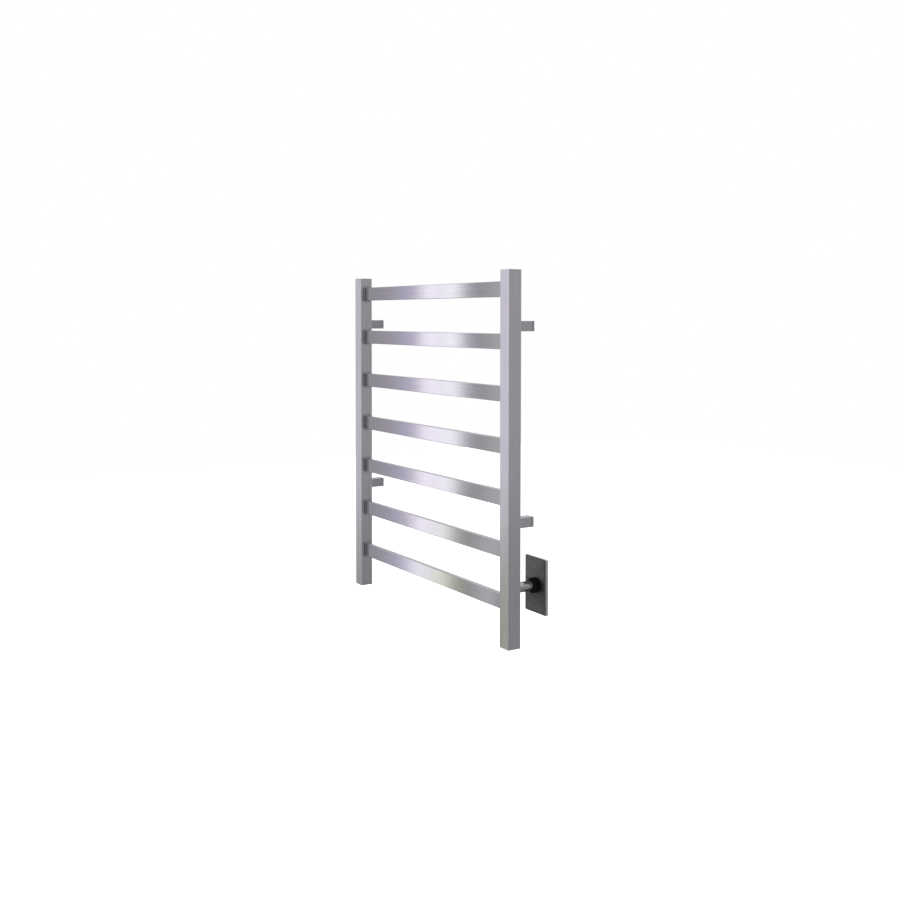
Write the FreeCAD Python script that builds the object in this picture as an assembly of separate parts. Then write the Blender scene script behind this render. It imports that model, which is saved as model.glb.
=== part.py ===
import FreeCAD, Part
import math
import os

# Wall-mounted, hard-wired towel warmer rack: two square posts joined by seven flat rails, held off
# the wall by four telescopic stand-offs, with a conduit and a cover plate for the supply wiring.
# Millimetres, +Z up. X runs along the rails, +Y points into the wall. The origin is the middle of
# the four wall screw holes, on the wall plane.

Vec = FreeCAD.Vector
X_AXIS, Y_AXIS, Z_AXIS = Vec(1, 0, 0), Vec(0, 1, 0), Vec(0, 0, 1)

# Driving dimensions: rack
RACK_HEIGHT = 762.0
RACK_WIDTH = 660.4
POST_SIZE = 30.5
POST_WALL = 1.5
TUBE_EDGE_R = 1.0
CAP_PLATE = 3.0
CAP_SKIRT_DEPTH = 9.0
CAP_EDGE_R = 0.6
RAIL_COUNT = 7
RAIL_HEIGHT = 31.75
RAIL_DEPTH = 10.5
RAIL_WALL = 1.2
RAIL_SETBACK = 11.0
RAIL_PITCH = 105.6
TOP_RAIL_DROP = 38.6

# Driving dimensions: stand-offs
WALL_TO_FRONT = 66.0
STANDOFF_SPACING = 396.0
UPPER_STANDOFF_DROP = 113.0
SLEEVE_SIZE = 21.0
SLEEVE_WALL = 2.2
SLEEVE_FLOOR = 2.0
BOSS_FLANGE = 5.3
SLIDE_GAP = 0.3
BOSS_WALL = 2.0
WALL_SCREW_R = 2.75
SET_SCREW_R = 2.0
SET_SCREW_FROM_END = 5.4
SET_GROOVE_DEPTH = 1.2
SLEEVE_SCREW_R = 2.5
SLEEVE_SCREW_HEAD_R = 4.5
SLEEVE_SCREW_HEAD = 2.6
INSERT_R = 3.5
INSERT_LENGTH = 9.5
INSERT_BULGE = 1.5
SET_SOCKET_R = 1.15
SET_SOCKET_DEPTH = 1.8
SLEEVE_SOCKET_R = 1.6

# Driving dimensions: conduit and cover plate
CONDUIT_RISE = 120.5
CONDUIT_R = 10.65
CONDUIT_BORE_R = 7.9
CONDUIT_REACH = 28.0
BUSH_R = 13.0
BUSH_DEPTH = 7.0
BUSH_LIP = 1.5
END_BUSHING_LIP = 2.0
END_BUSHING_DEPTH = 5.0
END_BUSHING_BORE_R = 6.5
PLATE_WIDTH = 69.85
PLATE_HEIGHT = 114.3
PLATE_DEPTH = 7.2
PLATE_WALL = 1.2
PLATE_BACK = 18.5
PLATE_BEVEL_WIDTH = 4.5
PLATE_BEVEL_DROP = 1.0
PLATE_CORNER_R = 1.5
COLLAR_R = 15.85
COLLAR_LENGTH = 10.5
COLLAR_NECK_R = 13.0
COLLAR_CLEARANCE = 0.08
PLATE_SCREW_SPACING = 70.0
PLATE_SCREW_HEAD_R = 3.4
PLATE_SCREW_R = 1.75
PLATE_SCREW_LENGTH = 12.0
PLATE_SCREW_DOME = 1.3
PLATE_SCREW_SLOT = 0.9
COLLAR_FLANGE = 1.6
COLLAR_NOSE_R = 1.5

# Driving dimensions: wiring
CABLE_R = 2.0
SEAL_R = 3.0
SPLICE_R = 3.1
CUTOUT_R = 3.3
SPLICE_LENGTH = 36.0
CUTOUT_LENGTH = 16.0
SEAL_LENGTH = 20.0
EARTH_WIRE_R = 1.1
LEAD_OFFSET = 2.5
EARTH_OFFSET = 3.5
LEAD_END_INSET = 6.0
EARTH_STUD_BELOW_CONDUIT = 75.0
EARTH_STUD_R = 2.0
EARTH_STUD_LENGTH = 10.0
EARTH_CLEARANCE = 5.5
EARTH_LEAN_RISE = 19.0
EARTH_TAIL = 8.0
CABLE_OUTWARD = 4.0
SPLICE_INSET = 16.0
SEAL_INSET = 50.0
LUG_STAND_OFF = 3.0
LUG_BARREL_R = 1.9
LUG_BARREL_LENGTH = 8.0
LUG_BARREL_RISE = 6.0
LUG_THICKNESS = 0.8
LUG_RING_R = 4.2
NUT_CORNER_R = 4.04
NUT_HEIGHT = 3.2

# Derived places
FRONT_Y = -WALL_TO_FRONT
POST_BACK_Y = FRONT_Y + POST_SIZE
POST_INNER_BACK_Y = POST_BACK_Y - POST_WALL
POST_MID_Y = FRONT_Y + POST_SIZE / 2
POST_X = (RACK_WIDTH - POST_SIZE) / 2
STANDOFF_Z = STANDOFF_SPACING / 2
TOP_Z = STANDOFF_Z + UPPER_STANDOFF_DROP
BOTTOM_Z = TOP_Z - RACK_HEIGHT
RAIL_END_X = RACK_WIDTH / 2 - POST_SIZE
RAIL_MID_Y = FRONT_Y + RAIL_SETBACK + RAIL_DEPTH / 2
RAIL_BORE_DEPTH = RAIL_DEPTH - 2 * RAIL_WALL
RAIL_BORE_HEIGHT = RAIL_HEIGHT - 2 * RAIL_WALL
RAIL_Z = [TOP_Z - TOP_RAIL_DROP - RAIL_PITCH * i for i in range(RAIL_COUNT)]
SLEEVE_END_Y = -BOSS_FLANGE - SLIDE_GAP
CONDUIT_Z = BOTTOM_Z + CONDUIT_RISE
PLATE_FRONT_Y = PLATE_BACK - PLATE_DEPTH
COLLAR_FRONT_Y = PLATE_FRONT_Y - COLLAR_LENGTH
STANDOFFS = {
    "left_upper": (-POST_X, STANDOFF_Z),
    "left_lower": (-POST_X, -STANDOFF_Z),
    "right_upper": (POST_X, STANDOFF_Z),
    "right_lower": (POST_X, -STANDOFF_Z),
}


def bar(centre, size, axis, radius=0.0):
    """A straight bar centred on a point, with the edges along its axis rounded."""
    corner = centre - Vec(*size) / 2
    block = Part.makeBox(*size, corner)
    if not radius:
        return block
    long_edges = [e for e in block.Edges if abs(e.tangentAt(e.FirstParameter).dot(axis)) > 0.99]
    return block.makeFillet(radius, long_edges)


def rod(start, axis, radius, length):
    """A cylinder from a point along an axis."""
    return Part.makeCylinder(radius, length, start, axis)


def hexagon(centre, normal, corner_r, length):
    """A six-sided prism from a point along an axis, Y or Z."""
    across = Z_AXIS if abs(normal.y) > 0.5 else Y_AXIS
    turns = [math.radians(60 * i) for i in range(7)]
    corners = [centre + (X_AXIS * math.cos(a) + across * math.sin(a)) * corner_r for a in turns]
    return Part.Face(Part.makePolygon(corners)).extrude(normal * length)


def export(name, shape):
    """Write one sub-part, after testing that its solids are sound."""
    solids = shape.Solids
    if not shape.isValid() or not solids:
        raise RuntimeError("bad shape: " + name)
    shape.exportStep("parts/" + name + ".step")
    print(name, len(solids), "solid(s)", round(shape.Volume, 1), "mm3")


def export_group(name, shapes):
    """Write identical fasteners as one sub-part of separate solids."""
    export(name, Part.makeCompound(shapes))


# Posts -------------------------------------------------------------------------------------------

def post_tube(x):
    """Square tube with a cable slot at each rail and a hole for each stand-off insert."""
    length = RACK_HEIGHT - 2 * CAP_PLATE
    mid = Vec(x, POST_MID_Y, (TOP_Z + BOTTOM_Z) / 2)
    inner = POST_SIZE - 2 * POST_WALL
    tube = bar(mid, (POST_SIZE, POST_SIZE, length), Z_AXIS, TUBE_EDGE_R)
    tube = tube.cut(bar(mid, (inner, inner, length + 2), Z_AXIS))
    inner_wall_x = math.copysign(RAIL_END_X + POST_WALL / 2, x)
    slot = (POST_WALL + 1, RAIL_BORE_DEPTH, RAIL_BORE_HEIGHT - 2)
    cuts = [bar(Vec(inner_wall_x, RAIL_MID_Y, z), slot, X_AXIS) for z in RAIL_Z]
    for z in (STANDOFF_Z, -STANDOFF_Z):
        cuts.append(rod(Vec(x, POST_BACK_Y + 1, z), -Y_AXIS, INSERT_R, POST_WALL + 2))
    return tube.cut(Part.makeCompound(cuts))


def post_cap(x, top):
    """Flush end cap: a square plate with a skirt that plugs the tube."""
    outward = 1 if top else -1
    end_z = TOP_Z if top else BOTTOM_Z
    plate_mid = Vec(x, POST_MID_Y, end_z - outward * CAP_PLATE / 2)
    plate = bar(plate_mid, (POST_SIZE, POST_SIZE, CAP_PLATE), Z_AXIS, TUBE_EDGE_R)
    rim = [e for e in plate.Edges if abs(e.CenterOfMass.z - end_z) < 0.01]
    plate = plate.makeFillet(CAP_EDGE_R, rim)
    plug = POST_SIZE - 2 * POST_WALL
    skirt_mid = Vec(x, POST_MID_Y, end_z - outward * (CAP_PLATE + CAP_SKIRT_DEPTH / 2))
    skirt = bar(skirt_mid, (plug, plug, CAP_SKIRT_DEPTH), Z_AXIS)
    hollow = plug - 2 * POST_WALL
    skirt = skirt.cut(bar(skirt_mid, (hollow, hollow, CAP_SKIRT_DEPTH), Z_AXIS))
    return plate.fuse(skirt)


left_post = post_tube(-POST_X)
right_post = post_tube(POST_X)

# Conduit boss: a threaded bush welded through the right post's rear wall
conduit_axis_start = Vec(POST_X, POST_BACK_Y - BUSH_DEPTH, CONDUIT_Z)
conduit_start = conduit_axis_start + Y_AXIS * BUSH_LIP
bush_blank = rod(conduit_axis_start, Y_AXIS, BUSH_R, BUSH_DEPTH)
right_post = right_post.cut(bush_blank)
conduit_bush = bush_blank.cut(rod(conduit_start, Y_AXIS, CONDUIT_R, BUSH_DEPTH))
conduit_bush = conduit_bush.cut(rod(conduit_axis_start, Y_AXIS, CONDUIT_BORE_R, BUSH_LIP))

# Earth stud: welded to the right post's rear wall, below the conduit
earth_x = POST_X + EARTH_OFFSET
earth_stud_z = CONDUIT_Z - EARTH_STUD_BELOW_CONDUIT

os.makedirs("parts", exist_ok=True)
export("left_post", left_post)
export("right_post", right_post)
for side, post_x in (("left", -POST_X), ("right", POST_X)):
    export(side + "_post_top_cap", post_cap(post_x, True))
    export(side + "_post_bottom_cap", post_cap(post_x, False))


# Rails -------------------------------------------------------------------------------------------

def rail_tube(z):
    """Rectangular tube between the inner faces of the posts."""
    mid = Vec(0, RAIL_MID_Y, z)
    outer = (2 * RAIL_END_X, RAIL_DEPTH, RAIL_HEIGHT)
    inner = (2 * RAIL_END_X + 2, RAIL_BORE_DEPTH, RAIL_BORE_HEIGHT)
    return bar(mid, outer, X_AXIS, TUBE_EDGE_R).cut(bar(mid, inner, X_AXIS))


for number, rail_z in enumerate(RAIL_Z, start=1):
    export("rail_%d" % number, rail_tube(rail_z))


# Stand-offs --------------------------------------------------------------------------------------

SLEEVE_INNER = SLEEVE_SIZE - 2 * SLEEVE_WALL
PLUG_SIZE = SLEEVE_INNER - 2 * SLIDE_GAP
SLEEVE_FLOOR_Y = POST_BACK_Y + SLEEVE_FLOOR
PLUG_END_Y = SLEEVE_FLOOR_Y + SLIDE_GAP
SET_SCREW_Y = SLEEVE_END_Y - SET_SCREW_FROM_END


def span_bar(x, z, y_from, y_to, size, radius=0.0):
    """A square bar along Y between two places."""
    mid = Vec(x, (y_from + y_to) / 2, z)
    return bar(mid, (size, y_to - y_from, size), Y_AXIS, radius)


def standoff_sleeve(x, z):
    """Square sleeve with a closed floor against the post and a threaded hole underneath."""
    sleeve = span_bar(x, z, POST_BACK_Y, SLEEVE_END_Y, SLEEVE_SIZE, TUBE_EDGE_R)
    cavity = span_bar(x, z, SLEEVE_FLOOR_Y, SLEEVE_END_Y + 1, SLEEVE_INNER)
    fixing_hole = rod(Vec(x, POST_BACK_Y - 1, z), Y_AXIS, SLEEVE_SCREW_R, SLEEVE_FLOOR + 2)
    underside = Vec(x, SET_SCREW_Y, z - SLEEVE_SIZE / 2 - 1)
    set_hole = rod(underside, Z_AXIS, SET_SCREW_R, SLEEVE_WALL + 2)
    return sleeve.cut(Part.makeCompound([cavity, fixing_hole, set_hole]))


def wall_boss(x, z):
    """Wall flange with a hollow plug, grooved underneath for the set screw."""
    flange = span_bar(x, z, -BOSS_FLANGE, 0, SLEEVE_SIZE, TUBE_EDGE_R)
    plug = span_bar(x, z, PLUG_END_Y, -BOSS_FLANGE, PLUG_SIZE, TUBE_EDGE_R)
    hollow = span_bar(x, z, PLUG_END_Y - 1, -BOSS_FLANGE, PLUG_SIZE - 2 * BOSS_WALL)
    screw_hole = rod(Vec(x, -BOSS_FLANGE - 1, z), Y_AXIS, WALL_SCREW_R, BOSS_FLANGE + 2)
    groove_size = (2 * SET_SCREW_R + 2 * SLIDE_GAP, -BOSS_FLANGE - PLUG_END_Y, 2 * SET_GROOVE_DEPTH)
    groove_mid = Vec(x, (PLUG_END_Y - BOSS_FLANGE) / 2, z - PLUG_SIZE / 2)
    groove = bar(groove_mid, groove_size, Y_AXIS)
    return flange.fuse(plug).cut(Part.makeCompound([hollow, screw_hole, groove]))


def set_screw(x, z):
    """Socket set screw, flush under the sleeve, with its tip in the boss's groove."""
    foot_z = z - SLEEVE_SIZE / 2
    tip_z = z - PLUG_SIZE / 2 + SET_GROOVE_DEPTH - SLIDE_GAP
    body = rod(Vec(x, SET_SCREW_Y, foot_z), Z_AXIS, SET_SCREW_R, tip_z - foot_z)
    return body.cut(hexagon(Vec(x, SET_SCREW_Y, foot_z), Z_AXIS, SET_SOCKET_R, SET_SOCKET_DEPTH))


def sleeve_screw(x, z):
    """Button-head screw through the sleeve's floor into the post's insert."""
    shank_length = SLEEVE_FLOOR + INSERT_LENGTH - 1
    shank = rod(Vec(x, SLEEVE_FLOOR_Y - shank_length, z), Y_AXIS, SLEEVE_SCREW_R, shank_length)
    head = rod(Vec(x, SLEEVE_FLOOR_Y, z), Y_AXIS, SLEEVE_SCREW_HEAD_R, SLEEVE_SCREW_HEAD)
    head_rim = [e for e in head.Edges if abs(e.CenterOfMass.y - SLEEVE_FLOOR_Y) > 0.01
                and e.Curve.TypeId == "Part::GeomCircle"]
    head = head.makeFillet(SLEEVE_SCREW_HEAD - 1, head_rim)
    socket_floor = Vec(x, SLEEVE_FLOOR_Y + 1, z)
    return shank.fuse(head).cut(hexagon(socket_floor, Y_AXIS, SLEEVE_SOCKET_R, SLEEVE_SCREW_HEAD))


def post_insert(x, z):
    """Threaded rivet insert set in the post's rear wall."""
    barrel = rod(Vec(x, POST_BACK_Y - INSERT_LENGTH, z), Y_AXIS, INSERT_R, INSERT_LENGTH)
    bulge_foot = Vec(x, POST_INNER_BACK_Y - INSERT_BULGE, z)
    bulge = rod(bulge_foot, Y_AXIS, INSERT_R + INSERT_BULGE, INSERT_BULGE)
    thread = rod(Vec(x, POST_BACK_Y - INSERT_LENGTH - 1, z), Y_AXIS, SLEEVE_SCREW_R, INSERT_LENGTH + 2)
    return barrel.fuse(bulge).cut(thread)


for place, (standoff_x, standoff_z) in STANDOFFS.items():
    export("standoff_sleeve_" + place, standoff_sleeve(standoff_x, standoff_z))
    export("wall_boss_" + place, wall_boss(standoff_x, standoff_z))
export_group("set_screws", [set_screw(x, z) for x, z in STANDOFFS.values()])
export_group("sleeve_screws", [sleeve_screw(x, z) for x, z in STANDOFFS.values()])
export_group("post_inserts", [post_insert(x, z) for x, z in STANDOFFS.values()])


# Conduit -----------------------------------------------------------------------------------------

conduit_length = CONDUIT_REACH - conduit_start.y
conduit_mouth = Vec(POST_X, CONDUIT_REACH, CONDUIT_Z)
conduit = rod(conduit_start, Y_AXIS, CONDUIT_R, conduit_length)
conduit = conduit.cut(rod(conduit_start, Y_AXIS, CONDUIT_BORE_R, conduit_length))

lip = rod(conduit_mouth, Y_AXIS, CONDUIT_R, END_BUSHING_LIP)
spigot = rod(conduit_mouth - Y_AXIS * END_BUSHING_DEPTH, Y_AXIS, CONDUIT_BORE_R, END_BUSHING_DEPTH)
bushing_bore = rod(conduit_mouth - Y_AXIS * (END_BUSHING_DEPTH + 1), Y_AXIS, END_BUSHING_BORE_R,
                   END_BUSHING_DEPTH + END_BUSHING_LIP + 2)
export("conduit_bush", conduit_bush)
export("conduit", conduit)
export("conduit_end_bushing", lip.fuse(spigot).cut(bushing_bore))


# Cover plate -------------------------------------------------------------------------------------

def plate_outline(y, inset):
    """Rounded rectangle of the cover plate at one depth."""
    size = (PLATE_WIDTH - 2 * inset, 1.0, PLATE_HEIGHT - 2 * inset)
    slab = bar(Vec(POST_X, y + 0.5, CONDUIT_Z), size, Y_AXIS, PLATE_CORNER_R)
    return min(slab.Faces, key=lambda face: face.CenterOfMass.y).OuterWire


def cover_plate():
    """Pressed steel pan with a bevelled border, open at the back."""
    bevel_y = PLATE_FRONT_Y + PLATE_BEVEL_DROP
    outlines = [plate_outline(PLATE_FRONT_Y, PLATE_BEVEL_WIDTH), plate_outline(bevel_y, 0.0)]
    rim_depth = PLATE_DEPTH - PLATE_BEVEL_DROP
    rim = Part.Face(outlines[1]).extrude(Y_AXIS * rim_depth)
    pan = Part.makeLoft(outlines, True, True).fuse(rim)
    hollow_mid = Vec(POST_X, bevel_y + PLATE_WALL + rim_depth / 2, CONDUIT_Z)
    hollow = (PLATE_WIDTH - 2 * PLATE_WALL, rim_depth, PLATE_HEIGHT - 2 * PLATE_WALL)
    cuts = [bar(hollow_mid, hollow, Y_AXIS)]
    cuts.append(rod(Vec(POST_X, PLATE_FRONT_Y - 1, CONDUIT_Z), Y_AXIS, COLLAR_NECK_R, PLATE_DEPTH))
    for z in plate_screw_heights():
        cuts.append(rod(Vec(POST_X, PLATE_FRONT_Y - 1, z), Y_AXIS, PLATE_SCREW_R, PLATE_DEPTH))
    return pan.cut(Part.makeCompound(cuts)).removeSplitter()


def plate_screw_heights():
    """Heights of the two screws that hold the plate to a wiring box."""
    return (CONDUIT_Z + PLATE_SCREW_SPACING / 2, CONDUIT_Z - PLATE_SCREW_SPACING / 2)


def plate_collar():
    """Black collar that grips the conduit and fills the plate's centre hole."""
    skin_back_y = PLATE_FRONT_Y + PLATE_BEVEL_DROP + PLATE_WALL
    front = rod(Vec(POST_X, COLLAR_FRONT_Y, CONDUIT_Z), Y_AXIS, COLLAR_R, COLLAR_LENGTH)
    nose = [e for e in front.Edges if abs(e.CenterOfMass.y - COLLAR_FRONT_Y) < 0.01]
    front = front.makeFillet(COLLAR_NOSE_R, nose)
    neck = rod(Vec(POST_X, PLATE_FRONT_Y, CONDUIT_Z), Y_AXIS, COLLAR_NECK_R, skin_back_y - PLATE_FRONT_Y)
    flange = rod(Vec(POST_X, skin_back_y, CONDUIT_Z), Y_AXIS, COLLAR_R, COLLAR_FLANGE)
    bore = rod(Vec(POST_X, COLLAR_FRONT_Y - 1, CONDUIT_Z), Y_AXIS, CONDUIT_R + COLLAR_CLEARANCE,
               2 * COLLAR_LENGTH)
    return front.fuse(neck).fuse(flange).cut(bore)


def plate_screw(z):
    """Oval-head screw with a slot."""
    face = Vec(POST_X, PLATE_FRONT_Y, z)
    shank = rod(face, Y_AXIS, PLATE_SCREW_R, PLATE_SCREW_LENGTH)
    dome_r = (PLATE_SCREW_HEAD_R ** 2 + PLATE_SCREW_DOME ** 2) / (2 * PLATE_SCREW_DOME)
    ball = Part.makeSphere(dome_r, face + Y_AXIS * (dome_r - PLATE_SCREW_DOME))
    cap_slice = rod(face - Y_AXIS * 2 * PLATE_SCREW_DOME, Y_AXIS, PLATE_SCREW_HEAD_R, 2 * PLATE_SCREW_DOME)
    dome = ball.common(cap_slice)
    slot_size = (PLATE_SCREW_SLOT, PLATE_SCREW_DOME, 2 * PLATE_SCREW_HEAD_R + 1)
    slot = bar(face - Y_AXIS * PLATE_SCREW_DOME, slot_size, Y_AXIS)
    return dome.fuse(shank).cut(slot)


export("cover_plate", cover_plate())
export("plate_collar", plate_collar())
export_group("plate_screws", [plate_screw(z) for z in plate_screw_heights()])


# Wiring ------------------------------------------------------------------------------------------

def tube_path(points, radii):
    """Straight runs joined by tangent arcs, one radius for each inner point."""
    edges = []
    here = points[0]
    for i, radius in enumerate(radii, start=1):
        arriving = (points[i] - points[i - 1]).normalize()
        leaving = (points[i + 1] - points[i]).normalize()
        turn = arriving.getAngle(leaving)
        setback = radius * math.tan(turn / 2)
        start = points[i] - arriving * setback
        end = points[i] + leaving * setback
        towards_centre = (leaving - arriving).normalize()
        middle = points[i] + towards_centre * (radius / math.cos(turn / 2) - radius)
        edges.append(Part.LineSegment(here, start).toShape())
        edges.append(Part.Arc(start, middle, end).toShape())
        here = end
    edges.append(Part.LineSegment(here, points[-1]).toShape())
    return Part.Wire(edges)


def bend_radii(points):
    """The largest bend that the two runs beside each inner point leave room for."""
    radii = []
    for before, corner, after in zip(points, points[1:], points[2:]):
        turn = (corner - before).getAngle(after - corner)
        shorter_run = min((corner - before).Length, (after - corner).Length)
        radii.append(0.45 * shorter_run / math.tan(turn / 2))
    return radii


def wire_tube(name, points, radius):
    """Sweep a round wire along its route and test its volume against its length."""
    radii = bend_radii(points)
    path = tube_path(points, radii)
    start_edge = path.Edges[0]
    profile = Part.Wire(Part.makeCircle(radius, points[0], start_edge.tangentAt(start_edge.FirstParameter)))
    tube = path.makePipeShell([profile], True, False)
    expected = math.pi * radius ** 2 * path.Length
    print(name, "length", round(path.Length, 1), "radii", [round(r, 1) for r in radii],
          "volume ratio", round(tube.Volume / expected, 4))
    export(name, tube)


bottom_rail_z = RAIL_Z[-1]
splice_start_x = RAIL_END_X - SPLICE_INSET
cutout_start_x = splice_start_x - SPLICE_LENGTH
cable_start_x = cutout_start_x - CUTOUT_LENGTH
seal_x = -RAIL_END_X + SEAL_INSET
cable_turn_x = POST_X + CABLE_OUTWARD

# The heating cable climbs from the bottom rail to the top one, changing side in each post.
cable_points = [Vec(cable_start_x, RAIL_MID_Y, bottom_rail_z)]
for index in range(RAIL_COUNT - 1):
    turn_x = -cable_turn_x if index % 2 == 0 else cable_turn_x
    cable_points.append(Vec(turn_x, RAIL_MID_Y, bottom_rail_z + RAIL_PITCH * index))
    cable_points.append(Vec(turn_x, RAIL_MID_Y, bottom_rail_z + RAIL_PITCH * (index + 1)))
cable_points.append(Vec(seal_x, RAIL_MID_Y, RAIL_Z[0]))
wire_tube("heating_cable", cable_points, CABLE_R)

lead_x = POST_X - LEAD_OFFSET
lead_end_y = CONDUIT_REACH - LEAD_END_INSET
lead_points = [
    Vec(lead_x, lead_end_y, CONDUIT_Z),
    Vec(lead_x, RAIL_MID_Y, CONDUIT_Z),
    Vec(lead_x, RAIL_MID_Y, bottom_rail_z),
    Vec(splice_start_x, RAIL_MID_Y, bottom_rail_z),
]
wire_tube("supply_lead", lead_points, CABLE_R)

# The earth wire clears the conduit bush, drops inside the post and leans back to its lug.
lug_wire_y = POST_INNER_BACK_Y - LUG_STAND_OFF
earth_drop_y = conduit_axis_start.y - EARTH_CLEARANCE
barrel_foot_z = earth_stud_z + LUG_BARREL_RISE
barrel_top_z = barrel_foot_z + LUG_BARREL_LENGTH
earth_points = [
    Vec(earth_x, lead_end_y, CONDUIT_Z),
    Vec(earth_x, earth_drop_y, CONDUIT_Z),
    Vec(earth_x, earth_drop_y, barrel_top_z + EARTH_LEAN_RISE + EARTH_TAIL),
    Vec(earth_x, lug_wire_y, barrel_top_z + EARTH_TAIL),
    Vec(earth_x, lug_wire_y, barrel_top_z),
]
wire_tube("earth_wire", earth_points, EARTH_WIRE_R)

bottom_axis = Vec(0, RAIL_MID_Y, bottom_rail_z)
export("cold_lead_splice", rod(bottom_axis + X_AXIS * cutout_start_x, X_AXIS, SPLICE_R, SPLICE_LENGTH))
cutout_blank = rod(bottom_axis + X_AXIS * cable_start_x, X_AXIS, CUTOUT_R, CUTOUT_LENGTH)
cutout_rims = [e for e in cutout_blank.Edges if e.Curve.TypeId == "Part::GeomCircle"]
export("thermal_cutout", cutout_blank.makeFillet(0.8, cutout_rims))
seal_tip_x = seal_x - SEAL_LENGTH
seal_blank = rod(Vec(seal_tip_x, RAIL_MID_Y, RAIL_Z[0]), X_AXIS, SEAL_R, SEAL_LENGTH)
seal_rim = [e for e in seal_blank.Edges if abs(e.CenterOfMass.x - seal_tip_x) < 0.01]
export("cable_end_seal", seal_blank.makeFillet(1.2, seal_rim))

# Earth stud, its lug and its nut
stud_base = Vec(earth_x, POST_INNER_BACK_Y, earth_stud_z)
export("earth_stud", rod(stud_base, -Y_AXIS, EARTH_STUD_R, EARTH_STUD_LENGTH))
ring = rod(stud_base, -Y_AXIS, LUG_RING_R, LUG_THICKNESS)
tongue_rise = LUG_BARREL_RISE + LUG_THICKNESS
tongue_mid = stud_base + Vec(0, -LUG_THICKNESS / 2, tongue_rise / 2)
tongue = bar(tongue_mid, (2 * LUG_BARREL_R, LUG_THICKNESS, tongue_rise), Z_AXIS)
heel_mid = stud_base + Vec(0, -LUG_STAND_OFF / 2, LUG_BARREL_RISE + LUG_THICKNESS / 2)
heel = bar(heel_mid, (2 * LUG_BARREL_R, LUG_STAND_OFF, LUG_THICKNESS), X_AXIS)
barrel_foot = Vec(earth_x, lug_wire_y, barrel_foot_z)
barrel = rod(barrel_foot, Z_AXIS, LUG_BARREL_R, LUG_BARREL_LENGTH)
stud_hole = rod(stud_base + Y_AXIS, -Y_AXIS, EARTH_STUD_R, 4)
earth_lug = ring.fuse(tongue).fuse(heel).fuse(barrel).cut(stud_hole)
export("earth_lug", earth_lug)
nut = hexagon(stud_base - Y_AXIS * LUG_THICKNESS, -Y_AXIS, NUT_CORNER_R, NUT_HEIGHT)
export("earth_nut", nut.cut(rod(stud_base, -Y_AXIS, EARTH_STUD_R, EARTH_STUD_LENGTH)))
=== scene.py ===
"""Towel warmer rack: finishes, fittings and studio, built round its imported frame."""
import logging
import math
from dataclasses import dataclass, field
from enum import Enum
from typing import Any, Callable

import bmesh
import bpy
from mathutils import Matrix, Vector


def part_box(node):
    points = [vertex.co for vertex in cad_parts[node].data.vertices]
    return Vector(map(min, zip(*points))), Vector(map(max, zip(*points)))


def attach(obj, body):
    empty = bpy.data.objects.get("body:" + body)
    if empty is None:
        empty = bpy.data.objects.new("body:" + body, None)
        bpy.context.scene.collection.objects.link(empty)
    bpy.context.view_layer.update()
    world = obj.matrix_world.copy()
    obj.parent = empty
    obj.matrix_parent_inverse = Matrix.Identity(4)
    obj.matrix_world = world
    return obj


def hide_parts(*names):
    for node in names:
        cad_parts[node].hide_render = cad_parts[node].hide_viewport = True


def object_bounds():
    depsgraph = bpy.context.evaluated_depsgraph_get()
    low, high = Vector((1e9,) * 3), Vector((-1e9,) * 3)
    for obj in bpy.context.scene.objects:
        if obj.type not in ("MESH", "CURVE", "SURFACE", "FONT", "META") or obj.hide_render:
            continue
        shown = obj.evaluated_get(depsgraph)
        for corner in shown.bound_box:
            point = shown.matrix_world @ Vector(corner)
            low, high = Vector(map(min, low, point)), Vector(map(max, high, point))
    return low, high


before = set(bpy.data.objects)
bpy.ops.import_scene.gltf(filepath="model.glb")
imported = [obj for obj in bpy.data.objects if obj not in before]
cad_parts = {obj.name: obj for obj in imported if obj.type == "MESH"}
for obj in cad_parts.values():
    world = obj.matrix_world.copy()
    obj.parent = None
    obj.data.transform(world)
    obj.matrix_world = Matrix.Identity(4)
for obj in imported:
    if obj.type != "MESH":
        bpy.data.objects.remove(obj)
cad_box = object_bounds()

MM = 0.001
MERGE_DISTANCE = 1e-7
FULL_TURN = 2 * math.pi
DEGREES = 180 / math.pi
Y_DIRECTION = Vector((0.0, 1.0, 0.0))
Colour = tuple[float, float, float]
Setting = bool | int | float | str | tuple | list
log = logging.getLogger("towel_warmer")


class Body(Enum):
    """The bodies that pieces ride on."""

    WALL_SIDE = "wall_side"
    RACK = "rack"
    SUPPLY_COVER = "supply_cover"


class Grain(Enum):
    """The direction that a brushed surface was polished in."""

    ALONG_X = 0
    ALONG_Y = 1
    ALONG_Z = 2

    def scale(self, along: float, across: float) -> tuple[float, float, float]:
        """Give a texture scale that is stretched along the grain.

        Args:
            along: Streak length in metres.
            across: Streak width in metres.

        Returns:
            The scale of each axis, per metre.
        """
        return tuple(1 / along if axis == self.value else 1 / across for axis in range(3))


# Shader writing -----------------------------------------------------------------------------------


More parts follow.
